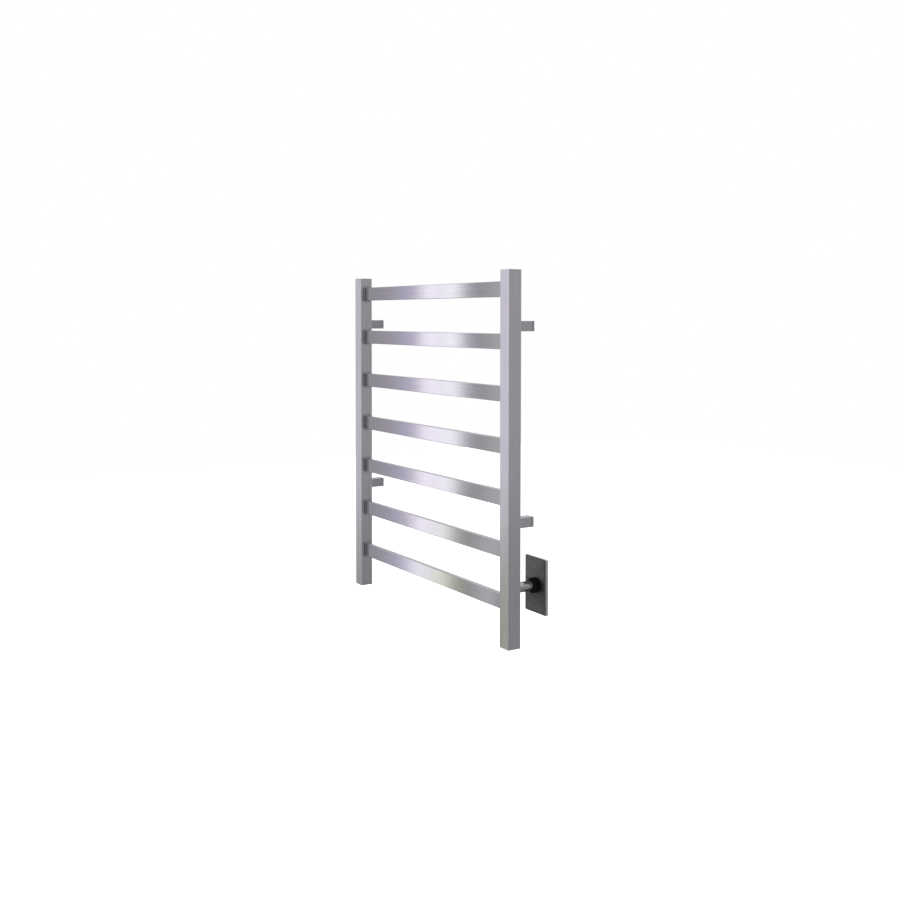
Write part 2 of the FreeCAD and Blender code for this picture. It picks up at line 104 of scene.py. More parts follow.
class Value:
    """A shader socket that takes part in ordinary arithmetic."""

    def __init__(self, sheet: "Sheet", socket: bpy.types.NodeSocket | None) -> None:
        """Wrap one output socket of a sheet, or none on a node that ends it."""
        self.sheet = sheet
        self.socket = socket

    def __add__(self, other: "Value | float") -> "Value":
        """Return the sum."""
        return self.sheet.arithmetic("ADD", self, other)

    def __radd__(self, other: float) -> "Value":
        """Return the sum with a number on the left."""
        return self.sheet.arithmetic("ADD", other, self)

    def __sub__(self, other: "Value | float") -> "Value":
        """Return the difference."""
        return self.sheet.arithmetic("SUBTRACT", self, other)

    def __rsub__(self, other: float) -> "Value":
        """Return the difference from a number on the left."""
        return self.sheet.arithmetic("SUBTRACT", other, self)

    def __mul__(self, other: "Value | float") -> "Value":
        """Return the product."""
        return self.sheet.arithmetic("MULTIPLY", self, other)

    def __rmul__(self, other: float) -> "Value":
        """Return the product with a number on the left."""
        return self.sheet.arithmetic("MULTIPLY", other, self)

    def __neg__(self) -> "Value":
        """Return the value with its sign changed."""
        return self.sheet.arithmetic("MULTIPLY", self, -1.0)


class Sheet:
    """A shader tree that is written as Python expressions."""

    def __init__(self, tree: bpy.types.ShaderNodeTree) -> None:
        """Start on an empty tree."""
        self.tree = tree
        tree.nodes.clear()

    def node(self, kind: str, settings: dict[str, Setting], sockets: dict[int | str, Any],
             output: int | str = 0) -> Value:
        """Add any node.

        Args:
            kind: The node's type.
            settings: Its settings, among them a ramp's stops, set before the sockets.
            sockets: The value, or the link, of each input by name or number.
            output: The output to return.

        Returns:
            The chosen output.
        """
        made = self.tree.nodes.new(kind)
        for name, setting in settings.items():
            if name == "stops":
                self._set_stops(made.color_ramp, setting)
            else:
                setattr(made, name, setting)
        for key, given in sockets.items():
            if isinstance(given, Value):
                self.tree.links.new(given.socket, made.inputs[key])
            elif given is not None:
                made.inputs[key].default_value = given
        return Value(self, made.outputs[output] if made.outputs else None)

    @staticmethod
    def _set_stops(ramp: bpy.types.ColorRamp, stops: list[tuple[float, Colour]]) -> None:
        """Set a ramp's stops.

        Args:
            ramp: The ramp to change.
            stops: Each stop's place from 0 to 1 and its colour.
        """
        for place, _ in stops[1:-1]:
            ramp.elements.new(place)
        for element, (place, colour) in zip(ramp.elements, stops):
            element.position = place
            element.color = (*colour, 1.0)

    def place(self) -> Value:
        """Return the place on the piece, in metres in the frame."""
        return self.node("ShaderNodeTexCoord", {}, {}, "Object")

    def noise(self, scale: tuple[float, float, float] | float, detail: float = 2.0,
              roughness: float = 0.5) -> Value:
        """Return a noise from 0 to 1.

        Args:
            scale: Cells per metre, for each axis or for all.
            detail: Octaves.
            roughness: Weight of the finer octaves.

        Returns:
            The noise value.
        """
        each = scale if isinstance(scale, tuple) else (scale,) * 3
        mapped = self.node("ShaderNodeMapping", {}, {"Vector": self.place(), "Scale": each})
        return self.node("ShaderNodeTexNoise", {},
                         {"Vector": mapped, "Scale": 1.0, "Detail": detail,
                          "Roughness": roughness}, "Fac")

    def remap(self, value: Value, low: float, high: float, to_low: float = 0.0,
              to_high: float = 1.0) -> Value:
        """Fit a range smoothly to another.

        Args:
            value: The value to fit.
            low: Start of its range.
            high: End of its range.
            to_low: What the start becomes.
            to_high: What the end becomes.

        Returns:
            The fitted value, held inside the new range.
        """
        return self.node("ShaderNodeMapRange", {"interpolation_type": "SMOOTHSTEP"},
                         {"Value": value, "From Min": low, "From Max": high,
                          "To Min": to_low, "To Max": to_high})

    def fade(self, value: Value, low: float, high: float) -> Value:
        """Return 1 before a range, 0 past it and a smooth fall between.

        Args:
            value: The value to test.
            low: Where the fall starts.
            high: Where it ends.

        Returns:
            The share, from 0 to 1.
        """
        return self.remap(value, low, high, 1.0, 0.0)

    def blend(self, amount: Value | float, first: Value | Colour, second: Value | Colour) -> Value:
        """Mix two colours.

        Args:
            amount: Share of the second colour.
            first: The first colour.
            second: The second colour.

        Returns:
            The mixed colour.
        """
        return self.node("ShaderNodeMix", {"data_type": "RGBA"},
                         {"Factor": amount, 6: as_colour(first), 7: as_colour(second)}, 2)

    def bump(self, height: Value, depth: float) -> Value:
        """Return a normal that is tilted by a height pattern.

        Args:
            height: The pattern, from 0 to 1.
            depth: How deep the pattern is, in metres.

        Returns:
            The normal.
        """
        return self.node("ShaderNodeBump", {}, {"Height": height, "Distance": depth,
                                                "Strength": 1.0})

    def axes(self, vector: Value) -> tuple[Value, Value, Value]:
        """Return the X, Y and Z of a vector."""
        return tuple(self.node("ShaderNodeSeparateXYZ", {}, {0: vector}, axis) for axis in "XYZ")

    def arithmetic(self, operation: str, *operands: Value | float) -> Value:
        """Return a Math node's result.

        Args:
            operation: The node's operation.
            *operands: Its inputs in order.

        Returns:
            The result.
        """
        return self.node("ShaderNodeMath", {"operation": operation}, dict(enumerate(operands)))

    def surface(self, **sockets: Any) -> None:
        """Finish the sheet with a principled surface, its sockets named with underscores."""
        named = {key.replace("_", " "): given for key, given in sockets.items()}
        shader = self.node("ShaderNodeBsdfPrincipled", {}, named)
        self.node("ShaderNodeOutputMaterial", {}, {"Surface": shader})


def as_colour(given: "Value | Colour") -> "Value | tuple":
    """Return a colour with its alpha, or a value as it is."""
    return given if isinstance(given, Value) else (*given, 1.0)


def tint(colour: Colour, share: float) -> Colour:
    """Return a colour that is lighter or darker by a share."""
    return tuple(min(1.0, channel * share) for channel in colour)


# Finishes -----------------------------------------------------------------------------------------


class Finish:
    """A finish that makes one material and keeps it."""

    name: str
    made: dict[str, bpy.types.Material] = {}

    def material(self) -> bpy.types.Material:
        """Return the finish's material, made on first use."""
        if self.name not in Finish.made:
            material = bpy.data.materials.new(self.name)
            material.use_nodes = True
            self.write(Sheet(material.node_tree))
            Finish.made[self.name] = material
        return Finish.made[self.name]

    def write(self, sheet: Sheet) -> None:
        """Write the finish on a sheet."""
        raise NotImplementedError


@dataclass(frozen=True)
class BrushedSteel(Finish):
    """Stainless steel brushed along one direction."""

    name: str
    grain: Grain
    colour: Colour = (0.640, 0.634, 0.680)
    roughness: float = 0.075
    anisotropy: float = 1.0
    turn: float = 0.0
    scratch_depth: float = 0.006 * MM
    scratch_size: tuple[float, float] = (45.0 * MM, 0.35 * MM)
    band_size: tuple[float, float] = (300.0 * MM, 2.2 * MM)
    paints_joint_shade: bool = False
    painted_shade_share: float = 0.25

    def write(self, sheet: Sheet) -> None:
        """Write fine scratches, broad polishing bands and faint smudges."""
        scratches = sheet.noise(self.grain.scale(*self.scratch_size), detail=3.0, roughness=0.65)
        bands = sheet.noise(self.grain.scale(*self.band_size), detail=2.0, roughness=0.55)
        smudges = sheet.noise(14.0, detail=3.0, roughness=0.6)
        tone = sheet.remap(bands * 0.55 + scratches * 0.45, 0.34, 0.66)
        colour = sheet.blend(tone, tint(self.colour, 0.94), tint(self.colour, 1.05))
        aged = sheet.blend(sheet.remap(smudges, 0.45, 0.8, to_high=0.35), colour,
                           tint(self.colour, 0.93))
        # Painted shade: the post's colour darkens round each rail's end, standing in for the
        # contact shadow there.
        if self.paints_joint_shade:
            aged = sheet.blend(self.painted_joint_shade(sheet), aged, tint(self.colour, self.painted_shade_share))
        roughness = self.roughness * (1.0 + (scratches - 0.5) * 0.3 + (bands - 0.5) * 0.25
                                      + (smudges - 0.5) * 0.3)
        sheet.surface(Base_Color=aged, Metallic=1.0, Roughness=roughness,
                      Anisotropic=self.anisotropy, Anisotropic_Rotation=self.turn,
                      Normal=sheet.bump(scratches * 0.7 + bands * 0.3, self.scratch_depth))

    @staticmethod
    def painted_joint_shade(sheet: Sheet) -> Value:
        """Return the painted contact shade on the posts' inner faces round each rail's end.

        Args:
            sheet: The sheet to write on.

        Returns:
            The painted shade's share, from 0 to 1.
        """
        low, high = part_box("rail_1")
        top_z = frame_middle("rail_1").z
        pitch = top_z - frame_middle("rail_2").z
        x, y, z = sheet.axes(sheet.place())
        from_rail = sheet.arithmetic("PINGPONG", z - top_z, pitch / 2)
        half = (high.z - low.z) / 2
        by_height = sheet.fade(from_rail, half - 4 * MM, half + 7 * MM)
        by_face = sheet.fade(sheet.arithmetic("ABSOLUTE", x), high.x + 0.2 * MM,
                             high.x + 1.0 * MM)
        by_depth = (sheet.remap(y, low.y - 6.5 * MM, low.y - 2.5 * MM)
                    * sheet.fade(y, high.y, high.y + 8 * MM))
        mottle = sheet.noise(130.0, detail=2.0, roughness=0.6)
        return by_height * by_face * by_depth * (0.74 + mottle * 0.3)


@dataclass(frozen=True)
class WeldSeam(Finish):
    """Small rippled weld, dulled by heat and passivated."""

    name: str = "weld_seam_steel"

    def write(self, sheet: Sheet) -> None:
        """Write close ripples and a straw heat tint."""
        ripples = sheet.noise((500.0, 900.0, 900.0), detail=1.0, roughness=0.5)
        patches = sheet.noise(260.0, detail=2.0, roughness=0.5)
        colour = sheet.blend(sheet.remap(patches, 0.35, 0.7), (0.34, 0.325, 0.33),
                             (0.46, 0.43, 0.40))
        sheet.surface(Base_Color=colour, Metallic=1.0, Roughness=0.34 + (patches - 0.5) * 0.14,
                      Normal=sheet.bump(ripples, 0.09 * MM))


@dataclass(frozen=True)
class TurnedSteel(Finish):
    """Machined or plated steel with fine tool marks."""

    name: str
    colour: Colour
    roughness: float
    marks: tuple[float, float, float] = (900.0, 4200.0, 900.0)

    def write(self, sheet: Sheet) -> None:
        """Write tool marks and a thin film of handling dirt."""
        tool_marks = sheet.noise(self.marks, detail=2.0, roughness=0.6)
        film = sheet.noise(90.0, detail=3.0, roughness=0.6)
        film_share = sheet.remap(film, 0.42, 0.78, to_high=0.5)
        colour = sheet.blend(film_share, tint(self.colour, 1.04), tint(self.colour, 0.84))
        roughness = self.roughness + (tool_marks - 0.5) * 0.06 + film_share * 0.08
        sheet.surface(Base_Color=colour, Metallic=1.0, Roughness=roughness,
                      Normal=sheet.bump(tool_marks, 0.006 * MM))


@dataclass(frozen=True)
class SatinPan(Finish):
    """Dull rolled sheet of the pressed cover plate."""

    name: str = "cover_plate_sheet"
    colour: Colour = (0.165, 0.165, 0.168)
    roughness: float = 0.40

    def write(self, sheet: Sheet) -> None:
        """Write rolling lines, a soft mottle and a few rubbed spots."""
        rolling = sheet.noise(Grain.ALONG_Z.scale(0.05, 0.0005), detail=3.0, roughness=0.6)
        mottle = sheet.noise(75.0, detail=3.0, roughness=0.55)
        rubbed = sheet.remap(sheet.noise(30.0, detail=4.0, roughness=0.65), 0.5, 0.75)
        colour = sheet.blend(sheet.remap(mottle, 0.35, 0.7), tint(self.colour, 0.9),
                             tint(self.colour, 1.06))
        roughness = self.roughness + (rolling - 0.5) * 0.04 + rubbed * 0.05
        sheet.surface(Base_Color=colour, Metallic=1.0, Roughness=roughness,
                      Normal=sheet.bump(rolling * 0.5 + mottle * 0.5, 0.01 * MM))


@dataclass(frozen=True)
class Moulded(Finish):
    """Moulded rubber, nylon or drawn jacket with a fine skin texture."""

    name: str
    colour: Colour
    roughness: float
    skin: float = 1500.0
    skin_depth: float = 0.02 * MM
    coat: float = 0.0
    gloss: float = 0.5

    def write(self, sheet: Sheet) -> None:
        """Write a pebbled skin and patches rubbed slightly shiny."""
        pebble = sheet.noise(self.skin, detail=2.0, roughness=0.5)
        rubbed = sheet.noise(110.0, detail=3.0, roughness=0.6)
        dust = sheet.remap(sheet.noise(320.0, detail=3.0, roughness=0.65), 0.52, 0.8, to_high=0.25)
        colour = sheet.blend(sheet.remap(rubbed, 0.35, 0.7), tint(self.colour, 0.88),
                             tint(self.colour, 1.12))
        dusty = sheet.blend(dust, colour, tuple(0.8 * c + 0.03 for c in self.colour))
        sheet.surface(Base_Color=dusty, Roughness=self.roughness + (rubbed - 0.5) * 0.16,
                      Coat_Weight=self.coat, Specular_IOR_Level=self.gloss,
                      Normal=sheet.bump(pebble, self.skin_depth))


@dataclass(frozen=True)
class StripedInsulation(Finish):
    """Green earth insulation with a yellow stripe."""

    name: str = "earth_wire_insulation"
    green: Colour = (0.06, 0.33, 0.10)
    yellow: Colour = (0.82, 0.66, 0.05)

    def write(self, sheet: Sheet) -> None:
        """Write the stripe along the wire, with a slightly drawn skin."""
        x, _, _ = sheet.axes(sheet.place())
        centre, half_edge = frame_middle("earth_wire").x, 0.05 * MM
        stripe = sheet.remap(x, centre - half_edge, centre + half_edge)
        skin = sheet.noise(700.0, detail=2.0, roughness=0.5)
        colour = sheet.blend(stripe, self.green, self.yellow)
        worn = sheet.blend(sheet.remap(skin, 0.5, 0.8, to_high=0.3), colour, (0.3, 0.36, 0.2))
        sheet.surface(Base_Color=worn, Roughness=0.42 + (skin - 0.5) * 0.12,
                      Normal=sheet.bump(skin, 0.01 * MM))


FINE_MARKS = (1600.0, 1600.0, 1600.0)


@dataclass(frozen=True)
class FinishSet:
    """Every finish on the rack."""

    rail: Finish = BrushedSteel("rail_brushed_steel", Grain.ALONG_X, turn=0.25)
    # The posts carry painted shade round each rail joint.
    post: Finish = BrushedSteel("post_brushed_steel", Grain.ALONG_Z, (0.675, 0.668, 0.716),
                                roughness=0.20, paints_joint_shade=True)
    cap: Finish = BrushedSteel("cap_brushed_steel", Grain.ALONG_X, (0.69, 0.683, 0.73),
                               roughness=0.24, anisotropy=0.5)
    sleeve: Finish = BrushedSteel("sleeve_brushed_steel", Grain.ALONG_Y, roughness=0.20, turn=0.25)
    boss: Finish = TurnedSteel("boss_machined_steel", (0.50, 0.49, 0.51), 0.32)
    fastener: Finish = TurnedSteel("fastener_zinc_plate", (0.66, 0.66, 0.68), 0.2, FINE_MARKS)
    conduit: Finish = TurnedSteel("conduit_bright_plate", (0.53, 0.52, 0.53), 0.13,
                                  (500.0, 2600.0, 500.0))
    pan: Finish = SatinPan()
    # A lighter copy of the pan's sheet: painted light for the lit rim.
    pan_rim_painted_light: Finish = SatinPan("cover_plate_rim_painted_light", (0.87, 0.87, 0.88), 0.2)
    plate_screw: Finish = TurnedSteel("plate_screw_grey_plate", (0.20, 0.20, 0.21), 0.30,
                                      FINE_MARKS)
    weld: Finish = WeldSeam()
    rubber: Finish = Moulded("collar_black_rubber", (0.003, 0.003, 0.0032), 0.6, gloss=0.10)
    nylon: Finish = Moulded("bushing_black_nylon", (0.03, 0.03, 0.033), 0.38)
    cable: Finish = Moulded("heating_cable_silicone", (0.50, 0.07, 0.045), 0.5, skin=900.0,
                            skin_depth=0.03 * MM)
    lead: Finish = Moulded("supply_lead_silicone", (0.70, 0.69, 0.64), 0.5, skin=900.0,
                           skin_depth=0.03 * MM)
    earth: Finish = StripedInsulation()
    shrink: Finish = Moulded("heat_shrink_sleeve", (0.025, 0.025, 0.025), 0.42, skin=450.0,
                             skin_depth=0.06 * MM)
    ceramic: Finish = Moulded("cut_out_glazed_sleeve", (0.76, 0.73, 0.66), 0.2, skin=260.0,
                              coat=0.7)
    copper: Finish = TurnedSteel("tinned_copper", (0.70, 0.66, 0.60), 0.28)


def frame_middle(node: str) -> Vector:
    """Return the middle of a CAD node's box."""
    low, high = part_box(node)
    return (low + high) / 2


def dress(node: str, finish: Finish) -> None:
    """Give a CAD node its finish, on every material slot.

    Args:
        node: The CAD node's name.
        finish: Its finish.
    """
    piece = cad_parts[node]
    if not piece.material_slots:
        piece.data.materials.append(finish.material())
    for slot in piece.material_slots:
        slot.material = finish.material()
    log.info("dressed %s in %s", node, finish.name)


# Metalwork ----------------------------------------------------------------------------------------


class Workpiece:
    """A mesh in the making, shaped in place by bmesh operators."""

    def __init__(self) -> None:
        """Start with nothing on the bench."""
        self.bm = bmesh.new()

    def lathe(self, profile: list[tuple[float, float]], foot: Vector, segments: int = 96) -> None:
        """Turn a closed outline round an axis along Y.

        Args:
            profile: Radius and distance along the axis of each corner, going round the outline.
            foot: Where the axis starts.
            segments: Steps in a full turn.
        """
        corners = [self.bm.verts.new(foot + Vector((radius, along, 0.0)))
                   for radius, along in profile]
        outline = [self.bm.edges.new(pair) for pair in zip(corners, corners[1:] + corners[:1])]
        bmesh.ops.spin(self.bm, geom=corners + outline, cent=foot, axis=Y_DIRECTION,
                       angle=FULL_TURN, steps=segments, use_merge=True)
        bmesh.ops.remove_doubles(self.bm, verts=self.bm.verts, dist=MERGE_DISTANCE)

    def thread(self, foot: Vector, root: float, crest: float, pitch: float, length: float,
               segments: int = 40) -> None:
        """Cut a screw thread round an axis along Y, as one closed ridge.

        Args:
            foot: Where the thread starts on the axis.
            root: Radius that the ridge stands on.
            crest: Radius of its edge.
            pitch: Distance between turns.
            length: Length of the threaded run.
            segments: Steps in a turn.
        """
        ridge_shares = [(root, 0.04), (crest, 0.44), (crest, 0.56), (root, 0.96)]
        corners = [self.bm.verts.new(foot + Vector((radius, share * pitch, 0.0)))
                   for radius, share in ridge_shares]
        section = self.bm.faces.new(corners)
        turns = (length - pitch) / pitch
        steps = round(turns * segments)
        bmesh.ops.spin(self.bm, geom=[*corners, *section.edges, section], cent=foot,
                       axis=Y_DIRECTION, dvec=Y_DIRECTION * (turns * pitch / steps),
                       angle=FULL_TURN * turns, steps=steps)

    def block(self, size: Vector, centre: Vector) -> list[bmesh.types.BMVert]:
        """Lay down a rectangular block.

        Args:
            size: Its three sides.
            centre: Its middle.

        Returns:
            The block's corners.
        """
        place = Matrix.Translation(centre) @ Matrix.Diagonal((*size, 1.0))
        return bmesh.ops.create_cube(self.bm, size=1.0, matrix=place)["verts"]

    def edges(self, test: Callable[[bmesh.types.BMEdge], bool]) -> list[bmesh.types.BMEdge]:
        """Return the edges that pass a test."""
        return [edge for edge in self.bm.edges if test(edge)]

    def round_off(self, edges: list[bmesh.types.BMEdge], radius: float, segments: int = 3) -> None:
        """Round edges.

        Args:
            edges: The edges to round.
            radius: How far back the rounding starts.
            segments: Steps across the rounding.
        """
        bmesh.ops.bevel(self.bm, geom=edges, offset=radius, offset_type="OFFSET",
                        segments=segments, profile=0.5, affect="EDGES", material=-1,
                        clamp_overlap=True)

    def close(self) -> None:
        """Merge doubled points and point every face outwards."""
        bmesh.ops.remove_doubles(self.bm, verts=self.bm.verts, dist=MERGE_DISTANCE)
        bmesh.ops.recalc_face_normals(self.bm, faces=self.bm.faces)

    def mesh(self, name: str, sharp_degrees: float = 38.0) -> bpy.types.Mesh:
        """Finish as a mesh, smooth but for its sharp edges.

        Args:
            name: The mesh's name.
            sharp_degrees: Bends past this stay sharp.

        Returns:
            The mesh.
        """
        for face in self.bm.faces:
            face.smooth = True
        limit = math.radians(sharp_degrees)
        for edge in self.bm.edges:
            edge.smooth = len(edge.link_faces) == 2 and edge.calc_face_angle(0.0) < limit
        mesh = bpy.data.meshes.new(name)
        self.bm.to_mesh(mesh)
        self.bm.free()
        return mesh


@dataclass(frozen=True)
class Fitting:
    """Where a new piece belongs."""

    body: Body
    slot: str
    finish: Finish
    replaces: tuple[str, ...] = ()
    second_finish: Finish | None = None

    def fit(self, name: str, mesh: bpy.types.Mesh) -> bpy.types.Object:
        """Put a mesh on its body as a named piece.

        Args:
            name: The piece's name.
            mesh: Its mesh, already in place.

        Returns:
            The piece.
        """
        piece = bpy.data.objects.new(name, mesh)
        bpy.context.scene.collection.objects.link(piece)
        mesh.materials.append(self.finish.material())
        if self.second_finish:
            mesh.materials.append(self.second_finish.material())
        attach(piece, self.body.value)
        if self.replaces:
            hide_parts(*self.replaces)
        log.info("fitted %s on %s", name, self.body.value)
        return piece


def depth_of(edge: bmesh.types.BMEdge) -> float:
    """Return how far an edge runs along Y."""
    return abs(edge.verts[0].co.y - edge.verts[1].co.y)


def bored(mesh: bpy.types.Mesh, cutter: bpy.types.Mesh) -> bpy.types.Mesh:
    """Cut one mesh out of another.

    Args:
        mesh: The mesh to cut.
        cutter: The mesh to take away.

    Returns:
        The cut mesh.
    """
    blank = bpy.data.objects.new("blank", mesh)
    tool = bpy.data.objects.new("tool", cutter)
    for part in (blank, tool):
        bpy.context.scene.collection.objects.link(part)
    cut = blank.modifiers.new("cut", "BOOLEAN")
    cut.operation = "DIFFERENCE"
    cut.solver = "EXACT"
    cut.object = tool
    bpy.context.view_layer.update()
    graph = bpy.context.evaluated_depsgraph_get()
    result = bpy.data.meshes.new_from_object(blank.evaluated_get(graph))
    for part in (blank, tool):
        bpy.data.objects.remove(part)
    return result


# Sub-assemblies -----------------------------------------------------------------------------------


@dataclass
class SubAssembly:
    """A group of pieces that is built and dressed together."""

    finishes: FinishSet

    def build(self) -> None:
        """Make the group's new pieces, if it has any."""

    def dress(self) -> None:
        """Give the group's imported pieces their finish, if it keeps any."""


@dataclass
class RackFrame(SubAssembly):
    """The posts, their caps, the rails and the welds between them."""

    rail_count: int = 7
    seam_height: float = 0.9 * MM
    seam_bite: float = 0.3 * MM
    seam_corner: float = 1.9 * MM
    seam_slope: float = 0.95

    def build(self) -> None:
        """Weld each rail to both posts."""
        for number in range(1, self.rail_count + 1):
            self.weld_rail(number)

    def weld_rail(self, number: int) -> None:
        """Lay the two weld seams of one rail.

        Args:
            number: The rail's number from the top.
        """
        low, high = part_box(f"rail_{number}")
        middle, size = (low + high) / 2, high - low
        length = self.seam_height + self.seam_bite
        seams = Workpiece()
        for end_x, outward in ((low.x, -1.0), (high.x, 1.0)):
            centre_x = end_x + outward * (self.seam_bite - length / 2)
            corners = seams.block(
                Vector((length, size.y + 2 * self.seam_height, size.z + 2 * self.seam_height)),
                Vector((centre_x, middle.y, middle.z)))
            rail_side = [v for v in corners if (v.co.x - centre_x) * outward < 0]
            for corner in rail_side:
                inward = self.seam_slope * self.seam_height
                corner.co.y += math.copysign(inward, middle.y - corner.co.y)
                corner.co.z += math.copysign(inward, middle.z - corner.co.z)
        along = seams.edges(lambda e: abs(e.verts[0].co.x - e.verts[1].co.x) > 0.5 * length)
        seams.round_off(along, self.seam_corner, 4)
        seams.close()
        name = f"rail_{number}_weld_seams"
        Fitting(Body.RACK, "brushed_steel", self.finishes.weld).fit(name, seams.mesh(name))

    def dress(self) -> None:
        """Give posts, caps and rails their brushed finish."""
        for side in ("left", "right"):
            dress(f"{side}_post", self.finishes.post)
            dress(f"{side}_post_top_cap", self.finishes.cap)
            dress(f"{side}_post_bottom_cap", self.finishes.cap)
        for number in range(1, self.rail_count + 1):
            dress(f"rail_{number}", self.finishes.rail)


@dataclass
class StandOffs(SubAssembly):
    """The four telescopic stand-offs and their fixings."""

    places: tuple[str, ...] = ("left_upper", "left_lower", "right_upper", "right_lower")

    def dress(self) -> None:
        """Give sleeves, bosses, screws and inserts their finish."""
        for place in self.places:
            dress(f"standoff_sleeve_{place}", self.finishes.sleeve)
            dress(f"wall_boss_{place}", self.finishes.boss)
        for fixings in ("set_screws", "sleeve_screws", "post_inserts"):
            dress(fixings, self.finishes.fastener)


@dataclass
class SupplyConduit(SubAssembly):
    """The pipe that carries the supply leads, with its bush and end bushing."""

    wall: float = 2.75 * MM
    thread_length: float = 8.6 * MM
    thread_pitch: float = 1.814 * MM
    thread_depth: float = 0.75 * MM
    edge_break: float = 0.35 * MM

    def build(self) -> None:
        """Turn the pipe and cut the thread at its rear end."""
        low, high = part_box("conduit")
        middle = (low + high) / 2
        radius, length = (high.x - low.x) / 2, high.y - low.y
        bore, root = radius - self.wall, radius - self.thread_depth
        shoulder = length - self.thread_length
        profile = [(bore, 0.0), (radius, 0.0), (radius, shoulder), (root, shoulder),
                   (root, length - self.edge_break), (root - self.edge_break, length),
                   (bore, length)]
        foot = Vector((middle.x, low.y, middle.z))
        pipe = Workpiece()
        pipe.lathe(profile, foot)
        pipe.thread(foot + Y_DIRECTION * (shoulder + 0.2 * MM), root - 0.05 * MM, radius,
                    self.thread_pitch, self.thread_length - self.edge_break)
        pipe.close()
        Fitting(Body.RACK, "conduit_steel", self.finishes.conduit, ("conduit",)).fit(
            "conduit_pipe", pipe.mesh("conduit_pipe"))

    def dress(self) -> None:
        """Give the bush and the end bushing their finish."""
        dress("conduit_bush", self.finishes.boss)
        dress("conduit_end_bushing", self.finishes.nylon)


